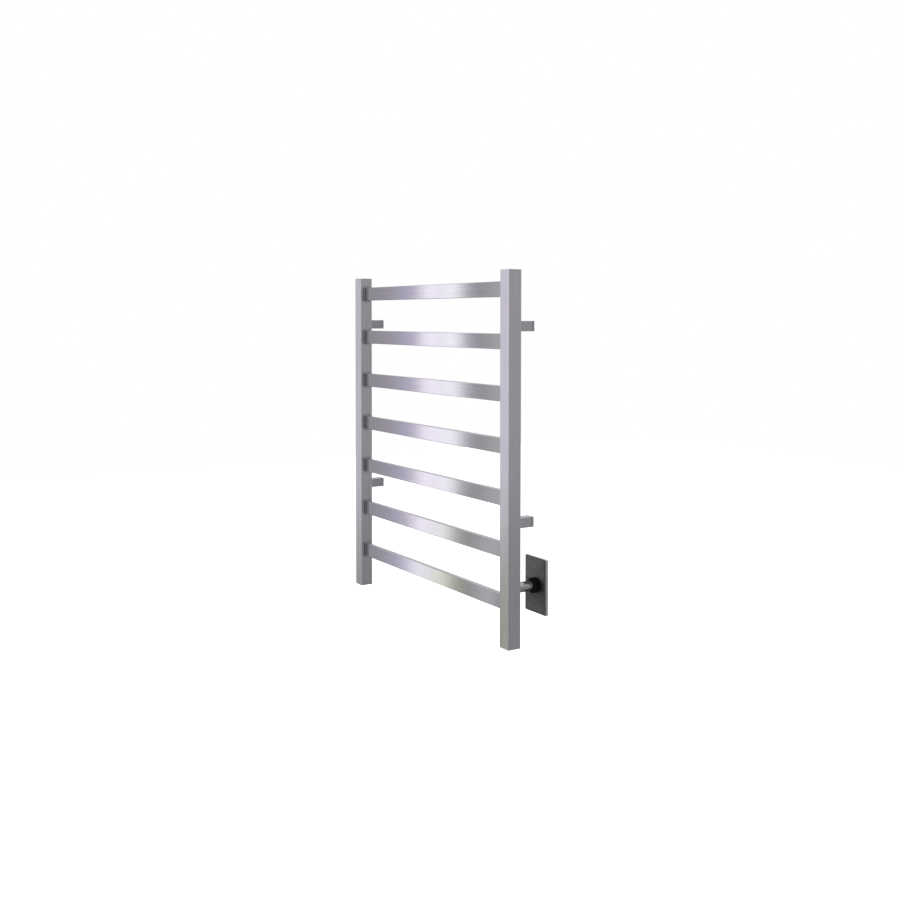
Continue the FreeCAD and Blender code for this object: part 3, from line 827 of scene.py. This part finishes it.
@dataclass
class SupplyCover(SubAssembly):
    """The pressed cover plate with its collar and two screws."""

    sheet_thickness: float = 1.2 * MM
    bevel_width: float = 4.5 * MM
    bevel_drop: float = 1.0 * MM
    corner_radius: float = 1.5 * MM
    press_radius: float = 0.5 * MM
    hole_radius: float = 13.0 * MM
    screw_hole_radius: float = 1.75 * MM
    screw_spacing: float = 70.0 * MM
    head_radius: float = 3.4 * MM
    head_dome: float = 1.3 * MM
    head_steps: int = 7
    slot_width: float = 0.9 * MM
    slot_depth: float = 0.9 * MM
    screw_length: float = 12.0 * MM
    screw_pitch: float = 0.8 * MM
    screw_tip: float = 1.0 * MM
    screw_plain: float = 2.2 * MM
    screw_end: float = 1.4 * MM
    collar_length: float = 10.5 * MM
    collar_flange: float = 1.6 * MM
    collar_nose: float = 1.9 * MM
    collar_rounding: float = 0.3 * MM
    mouth_depth: float = 1.1 * MM
    mouth_width: float = 0.9 * MM
    groove: tuple[float, float] = (6.6 * MM, 8.6 * MM)
    groove_slope: float = 0.5 * MM
    groove_depth: float = 0.7 * MM
    conduit_gap: float = 0.08 * MM

    @property
    def middle(self) -> Vector:
        """Return the middle of the plate."""
        return frame_middle("cover_plate")

    @property
    def screw_heights(self) -> dict[str, float]:
        """Return the height of each screw by its name."""
        middle_z, half = self.middle.z, self.screw_spacing / 2
        return {"upper": middle_z + half, "lower": middle_z - half}

    @property
    def skin_y(self) -> float:
        """Return how far back the pressed border of the plate lies."""
        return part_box("cover_plate")[0].y + self.bevel_drop

    def build(self) -> None:
        """Press the plate, turn the collar and make the screws."""
        self.press_plate()
        self.turn_collar()
        for place, height in self.screw_heights.items():
            self.make_screw(place, height)

    def press_plate(self) -> None:
        """Press the pan, drill it, open its back and give its side walls painted light: a lighter
        copy of the sheet.
        """
        drilled = bored(self.bevelled_blank().mesh("pan_blank"), self.drills().mesh("pan_holes"))
        pan = Workpiece()
        pan.bm.from_mesh(bored(drilled, self.cavity().mesh("pan_cavity")))
        pan.bm.normal_update()
        edge_y = self.skin_y + 0.1 * MM
        for face in pan.bm.faces:
            place = face.calc_center_median()
            outward = (place - self.middle).dot(face.normal) > 0
            # Painted light: the outer side walls take a lighter copy of the sheet, standing in for
            # light that falls on the rim.
            face.material_index = int(outward and abs(face.normal.y) < 0.5 and place.y > edge_y)
        Fitting(Body.SUPPLY_COVER, "plate_steel", self.finishes.pan, ("cover_plate",),
                self.finishes.pan_rim_painted_light).fit("cover_plate_pan", pan.mesh("cover_plate_pan", 34.0))

    def bevelled_blank(self) -> Workpiece:
        """Return the plate as a solid with a bevelled border and rounded bends."""
        low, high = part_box("cover_plate")
        size = high - low
        size.y -= self.bevel_drop
        blank = Workpiece()
        blank.block(size, self.middle + Y_DIRECTION * (self.bevel_drop / 2))
        blank.bm.normal_update()
        front = [face for face in blank.bm.faces if face.normal.y < -0.9]
        bmesh.ops.inset_region(blank.bm, faces=front, thickness=self.bevel_width,
                               depth=self.bevel_drop, use_even_offset=True, use_boundary=True)
        blank.round_off(blank.edges(lambda edge: depth_of(edge) > 0.1 * MM),
                        self.corner_radius, 5)
        blank.bm.normal_update()
        rim_y = self.skin_y + 0.1 * MM
        blank.round_off(blank.edges(lambda edge: max(v.co.y for v in edge.verts) < rim_y
                                    and depth_of(edge) < 0.1 * MM
                                    and edge.calc_face_angle(0.0) > math.radians(5)),
                        self.press_radius)
        blank.close()
        return blank

    def drills(self) -> Workpiece:
        """Return the cutters of the centre hole and the two screw holes."""
        low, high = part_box("cover_plate")
        holes = [(self.hole_radius, self.middle.z)]
        holes += [(self.screw_hole_radius, height) for height in self.screw_heights.values()]
        cutters = Workpiece()
        for radius, height in holes:
            place = Matrix.Translation((self.middle.x, self.middle.y, height))
            bmesh.ops.create_cone(cutters.bm, cap_ends=True, segments=64, radius1=radius,
                                  radius2=radius, depth=4 * (high.y - low.y - self.bevel_drop),
                                  matrix=place @ Matrix.Rotation(math.pi / 2, 4, "X"))
        return cutters

    def cavity(self) -> Workpiece:
        """Return the cutter that opens the pan's back and leaves its sheet."""
        low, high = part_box("cover_plate")
        reach = 2 * (high.y - low.y - self.bevel_drop)
        inner = Vector((high.x - low.x - 2 * self.sheet_thickness, reach,
                        high.z - low.z - 2 * self.sheet_thickness))
        cutter = Workpiece()
        cutter.block(inner, Vector((self.middle.x, self.skin_y + self.sheet_thickness + reach / 2,
                                    self.middle.z)))
        cutter.round_off(cutter.edges(lambda edge: True), self.sheet_thickness)
        cutter.close()
        return cutter

    def turn_collar(self) -> None:
        """Mould the black collar with a rounded nose, a groove and a back flange."""
        low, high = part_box("plate_collar")
        radius, length = (high.x - low.x) / 2, high.y - low.y
        pipe_low, pipe_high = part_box("conduit")
        bore = (pipe_high.x - pipe_low.x) / 2 + self.conduit_gap
        neck_end = length - self.collar_flange
        floor = radius - self.groove_depth
        groove_start, groove_end = self.groove
        profile = [(bore, self.mouth_depth), (bore + self.mouth_width, 0.0),
                   (radius - self.collar_nose, 0.0), (radius, self.collar_nose),
                   (radius, groove_start), (floor, groove_start + self.groove_slope),
                   (floor, groove_end - self.groove_slope), (radius, groove_end),
                   (radius, self.collar_length), (self.hole_radius, self.collar_length),
                   (self.hole_radius, neck_end), (radius, neck_end), (radius, length),
                   (bore, length)]
        collar = Workpiece()
        collar.lathe(profile, Vector((self.middle.x, low.y, self.middle.z)), 128)
        collar.close()
        rims = collar.edges(lambda edge: edge.calc_face_angle(0.0) > math.radians(30))
        collar.round_off(rims, self.collar_rounding)
        Fitting(Body.SUPPLY_COVER, "black_rubber", self.finishes.rubber, ("plate_collar",)).fit(
            "plate_collar_ring", collar.mesh("plate_collar_ring", 60.0))

    def make_screw(self, place: str, height: float) -> None:
        """Make one oval-head screw with a slot and a thread.

        Args:
            place: Which screw it is.
            height: Its height.
        """
        foot = Vector((self.middle.x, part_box("cover_plate")[0].y, height))
        angles = [math.pi / 2 * step / self.head_steps for step in range(self.head_steps + 1)]
        dome = [(self.head_radius * math.sin(angle), -self.head_dome * math.cos(angle))
                for angle in angles]
        shank, under_head = self.screw_hole_radius - 0.25 * MM, 0.05 * MM
        profile = [*dome, (self.head_radius, under_head), (shank, under_head),
                   (shank, self.screw_length - self.screw_tip), (0.4 * shank, self.screw_length),
                   (0.0, self.screw_length)]
        blank = Workpiece()
        blank.lathe(profile, foot, 48)
        blank.close()
        slot = Workpiece()
        slot.block(Vector((3 * self.head_radius, 2 * self.slot_depth, self.slot_width)),
                   foot - Y_DIRECTION * self.head_dome)
        ridge = Workpiece()
        ridge.thread(foot + Y_DIRECTION * self.screw_plain, shank - 0.05 * MM,
                     self.screw_hole_radius - 0.02 * MM, self.screw_pitch,
                     self.screw_length - self.screw_plain - self.screw_end, 24)
        ridge.close()
        screw = Workpiece()
        screw.bm.from_mesh(bored(blank.mesh("screw_blank"), slot.mesh("screw_slot")))
        screw.bm.from_mesh(ridge.mesh("screw_ridge"))
        name = f"plate_screw_{place}"
        Fitting(Body.SUPPLY_COVER, "fastener_steel", self.finishes.plate_screw,
                ("plate_screws",)).fit(name, screw.mesh(name))


@dataclass
class HeatingCircuit(SubAssembly):
    """The cable, leads and protective parts inside the tubes."""

    def dress(self) -> None:
        """Give each part of the circuit its finish."""
        for node, finish in (("heating_cable", self.finishes.cable),
                             ("supply_lead", self.finishes.lead),
                             ("earth_wire", self.finishes.earth),
                             ("cold_lead_splice", self.finishes.shrink),
                             ("cable_end_seal", self.finishes.shrink),
                             ("thermal_cutout", self.finishes.ceramic),
                             ("earth_lug", self.finishes.copper),
                             ("earth_stud", self.finishes.fastener),
                             ("earth_nut", self.finishes.fastener)):
            dress(node, finish)


# Studio -------------------------------------------------------------------------------------------


@dataclass
class Studio:
    """Camera, floor, soft light and the surroundings that the steel mirrors."""

    camera_place: Vector = field(default_factory=lambda: Vector((2.11597, -1.32877, 0.21580)))
    camera_turn: float = 58.842
    camera_dip: float = 2.018
    lens: float = 44.12
    sensor_width: float = 36.0
    shift: tuple[float, float] = (0.0226, -0.1044)
    floor_drop: float = 0.62
    floor_size: float = 14.0
    lamp_size: tuple[float, float] = (2.4, 1.6)
    lamp_power: float = 30.0
    lamp_place: tuple[float, float, float] = (0.6, -0.9, 2.4)
    lamp_tilt: float = 22.0
    lamp_turn: float = 20.0
    window: tuple[float, float] = (46.0, 70.0)
    window_edge: float = 2.0
    strip_lean: float = 0.65
    lean_band: tuple[float, float] = (-13.5, -5.0)
    strip_band: tuple[float, float] = (-15.0, -8.0)
    ring_band: tuple[float, float] = (-16.0, -4.0)
    ceiling: Colour = (0.80, 0.79, 0.82)
    ceiling_band: tuple[float, float] = (14.0, 48.0)
    ground: Colour = (0.24, 0.245, 0.24)
    ground_band: tuple[float, float] = (-55.0, -24.0)

    def build(self) -> None:
        """Set up the camera, floor, lamp and surroundings."""
        self.set_camera()
        self.lay_floor()
        self.hang_lamp()
        self.surround()
        bpy.context.scene.view_settings.view_transform = "Standard"
        log.info("studio is set")

    def set_camera(self) -> None:
        """Place the camera, level but for a slight dip."""
        data = bpy.data.cameras.new("studio_camera")
        data.lens, data.sensor_width = self.lens, self.sensor_width
        data.shift_x, data.shift_y = self.shift
        camera = bpy.data.objects.new("studio_camera", data)
        camera.location = self.camera_place
        camera.rotation_euler = (math.radians(90 - self.camera_dip), 0.0,
                                 math.radians(self.camera_turn))
        bpy.context.scene.collection.objects.link(camera)
        bpy.context.scene.camera = camera

    def lay_floor(self) -> None:
        """Lay a plain white floor well below the rack."""
        floor_mesh = bpy.data.meshes.new("studio_floor")
        plane = bmesh.new()
        depth = cad_box[0].z - self.floor_drop
        bmesh.ops.create_grid(plane, x_segments=1, y_segments=1, size=self.floor_size / 2,
                              matrix=Matrix.Translation((0.0, 0.0, depth)))
        plane.to_mesh(floor_mesh)
        plane.free()
        floor = bpy.data.objects.new("studio_floor", floor_mesh)
        bpy.context.scene.collection.objects.link(floor)
        paper = bpy.data.materials.new("studio_paper")
        paper.use_nodes = True
        Sheet(paper.node_tree).surface(Base_Color=(0.9, 0.9, 0.9, 1.0), Roughness=0.9,
                                       Emission_Color=(1.0, 1.0, 1.0, 1.0), Emission_Strength=0.8)
        floor_mesh.materials.append(paper)
        floor.visible_glossy = False

    def hang_lamp(self) -> None:
        """Hang one large soft lamp overhead."""
        data = bpy.data.lights.new("overhead_softbox", "AREA")
        data.shape, data.energy = "RECTANGLE", self.lamp_power
        data.size, data.size_y = self.lamp_size
        lamp = bpy.data.objects.new("overhead_softbox", data)
        lamp.location = self.lamp_place
        lamp.rotation_euler = (math.radians(self.lamp_tilt), 0.0, math.radians(self.lamp_turn))
        lamp.visible_glossy = False
        bpy.context.scene.collection.objects.link(lamp)

    def surround(self) -> None:
        """Wrap the scene in softboxes and dark flags, with plain white behind the rack."""
        world = bpy.data.worlds.new("studio_surroundings")
        bpy.context.scene.world = world
        world.use_nodes = True
        sheet = Sheet(world.node_tree)
        direction = sheet.node("ShaderNodeTexCoord", {}, {}, "Generated")
        x, y, z = sheet.axes(direction)
        bearing = sheet.arithmetic("ARCTAN2", -x, -y) * DEGREES
        height = sheet.arithmetic("ARCSINE", z) * DEGREES
        around = sheet.blend(sheet.remap(height, *self.ring_band),
                             self.ring(sheet, bearing, LOW_WIDE),
                             self.ring(sheet, bearing, HIGH_WIDE))
        leaning = bearing - sheet.remap(height, *self.lean_band, self.strip_lean, 0.0)
        strips = sheet.blend(sheet.remap(height, *self.strip_band),
                             self.ring(sheet, leaning, LOW_STRIPS),
                             self.ring(sheet, leaning, HIGH_STRIPS))
        first, last = self.window
        inside = (sheet.remap(bearing, first, first + self.window_edge)
                  * sheet.fade(bearing, last - self.window_edge, last))
        level = sheet.blend(inside, around, strips)
        over = sheet.blend(sheet.remap(height, *self.ceiling_band), level, self.ceiling)
        room = sheet.blend(sheet.remap(height, *self.ground_band), self.ground, over)
        seen = sheet.node("ShaderNodeLightPath", {}, {}, "Is Camera Ray")
        shown = sheet.blend(seen, room, (1.0, 1.0, 1.0))
        light = sheet.node("ShaderNodeBackground", {}, {"Color": shown, "Strength": 1.0})
        sheet.node("ShaderNodeOutputWorld", {}, {"Surface": light})

    @staticmethod
    def ring(sheet: Sheet, bearing: Value, stops: list[tuple[float, Colour]]) -> Value:
        """Return the colour of a ring of lights and flags at a bearing.

        Args:
            sheet: The sheet to write on.
            bearing: Degrees from straight ahead of the rack.
            stops: Each stop's bearing and colour, in order.

        Returns:
            The colour.
        """
        first, last = stops[0][0], stops[-1][0]
        span = last - first
        placed = [((degrees - first) / span, colour) for degrees, colour in stops]
        return sheet.node("ShaderNodeValToRGB", {"stops": placed},
                          {"Fac": (bearing - first) * (1 / span)})


def lilac(level: float) -> Colour:
    """Return a cool, slightly lilac light."""
    return (level * 1.03, level * 0.965, level * 1.06)


def lavender(level: float) -> Colour:
    """Return a clearly violet light."""
    return (level * 1.01, level * 0.955, level * 1.17)


def warm(level: float) -> Colour:
    """Return a light that is slightly green and yellow."""
    return (level * 1.01, level * 1.03, level * 0.80)


def plain(level: float) -> Colour:
    """Return a neutral light."""
    return (level, level, level)


# Rings of light round the rack: bearing in degrees from straight ahead, and the light there.
# The strips are the narrow lights and flags inside the studio's window, the wide rings the rest.
HIGH_STRIPS = [(46.0, lilac(1.15)), (51.0, lilac(1.1)), (53.0, lilac(0.75)), (54.8, plain(0.55)),
               (55.5, plain(0.54)), (56.0, plain(0.42)), (56.3, plain(0.40)), (56.7, lilac(0.48)),
               (57.0, lilac(0.60)), (57.3, plain(1.15)), (57.6, plain(1.42)), (58.0, plain(1.30)),
               (58.35, lilac(1.18)), (58.75, lilac(1.36)), (59.1, lilac(1.36)),
               (59.45, lilac(0.80)), (59.75, lavender(0.62)), (60.2, lavender(0.57)),
               (60.9, lilac(0.46)), (61.8, plain(0.39)), (63.5, plain(0.38)), (66.0, lilac(0.5)),
               (70.0, lilac(0.6))]
LOW_STRIPS = [(46.0, warm(0.60)), (51.4, warm(0.60)), (52.0, plain(0.12)), (54.0, plain(0.10)),
              (54.6, plain(0.50)), (55.1, plain(0.68)), (55.7, plain(0.52)), (56.1, plain(0.34)),
              (56.4, warm(0.30)), (56.7, warm(0.40)), (57.0, warm(0.50)), (57.35, warm(0.86)),
              (57.65, warm(1.27)), (58.0, warm(1.02)), (58.25, plain(0.90)), (58.55, plain(1.28)),
              (58.9, plain(1.40)), (59.2, lilac(1.15)), (59.45, lavender(0.66)),
              (59.7, lavender(0.55)), (60.3, lavender(0.48)), (61.2, plain(0.355)),
              (63.5, plain(0.21)), (66.0, plain(0.09)), (70.0, plain(0.08))]
HIGH_WIDE = [(-180.0, plain(0.62)), (-150.0, plain(0.65)), (-128.0, plain(0.395)),
             (-112.0, plain(0.265)), (-92.0, plain(0.7)), (-74.0, plain(0.36)),
             (-46.0, plain(0.36)), (-36.0, plain(0.6)), (0.0, plain(0.85)), (30.0, lilac(0.8)),
             (46.0, lilac(1.15)), (70.0, lilac(0.6)), (100.0, plain(0.6)), (150.0, plain(0.7)),
             (180.0, plain(0.62))]
LOW_WIDE = [(-180.0, plain(0.46)), (-150.0, plain(0.48)), (-128.0, plain(0.305)),
            (-112.0, plain(0.195)), (-92.0, plain(0.45)), (-74.0, plain(0.32)),
            (-46.0, plain(0.32)), (-36.0, plain(0.45)), (0.0, plain(0.55)), (30.0, warm(0.5)),
            (46.0, warm(0.60)), (70.0, plain(0.08)), (100.0, plain(0.42)), (116.0, plain(0.16)),
            (134.0, plain(0.16)), (150.0, plain(0.46)), (180.0, plain(0.46))]


def main() -> None:
    """Set up the studio, then build and dress every sub-assembly."""
    logging.basicConfig(level=logging.INFO, format="%(name)s: %(message)s")
    finishes = FinishSet()
    Studio().build()
    for assembly in (RackFrame(finishes), StandOffs(finishes), SupplyConduit(finishes),
                     SupplyCover(finishes), HeatingCircuit(finishes)):
        assembly.build()
        assembly.dress()
        log.info("%s is done", type(assembly).__name__)


if __name__ == "__main__":
    main()
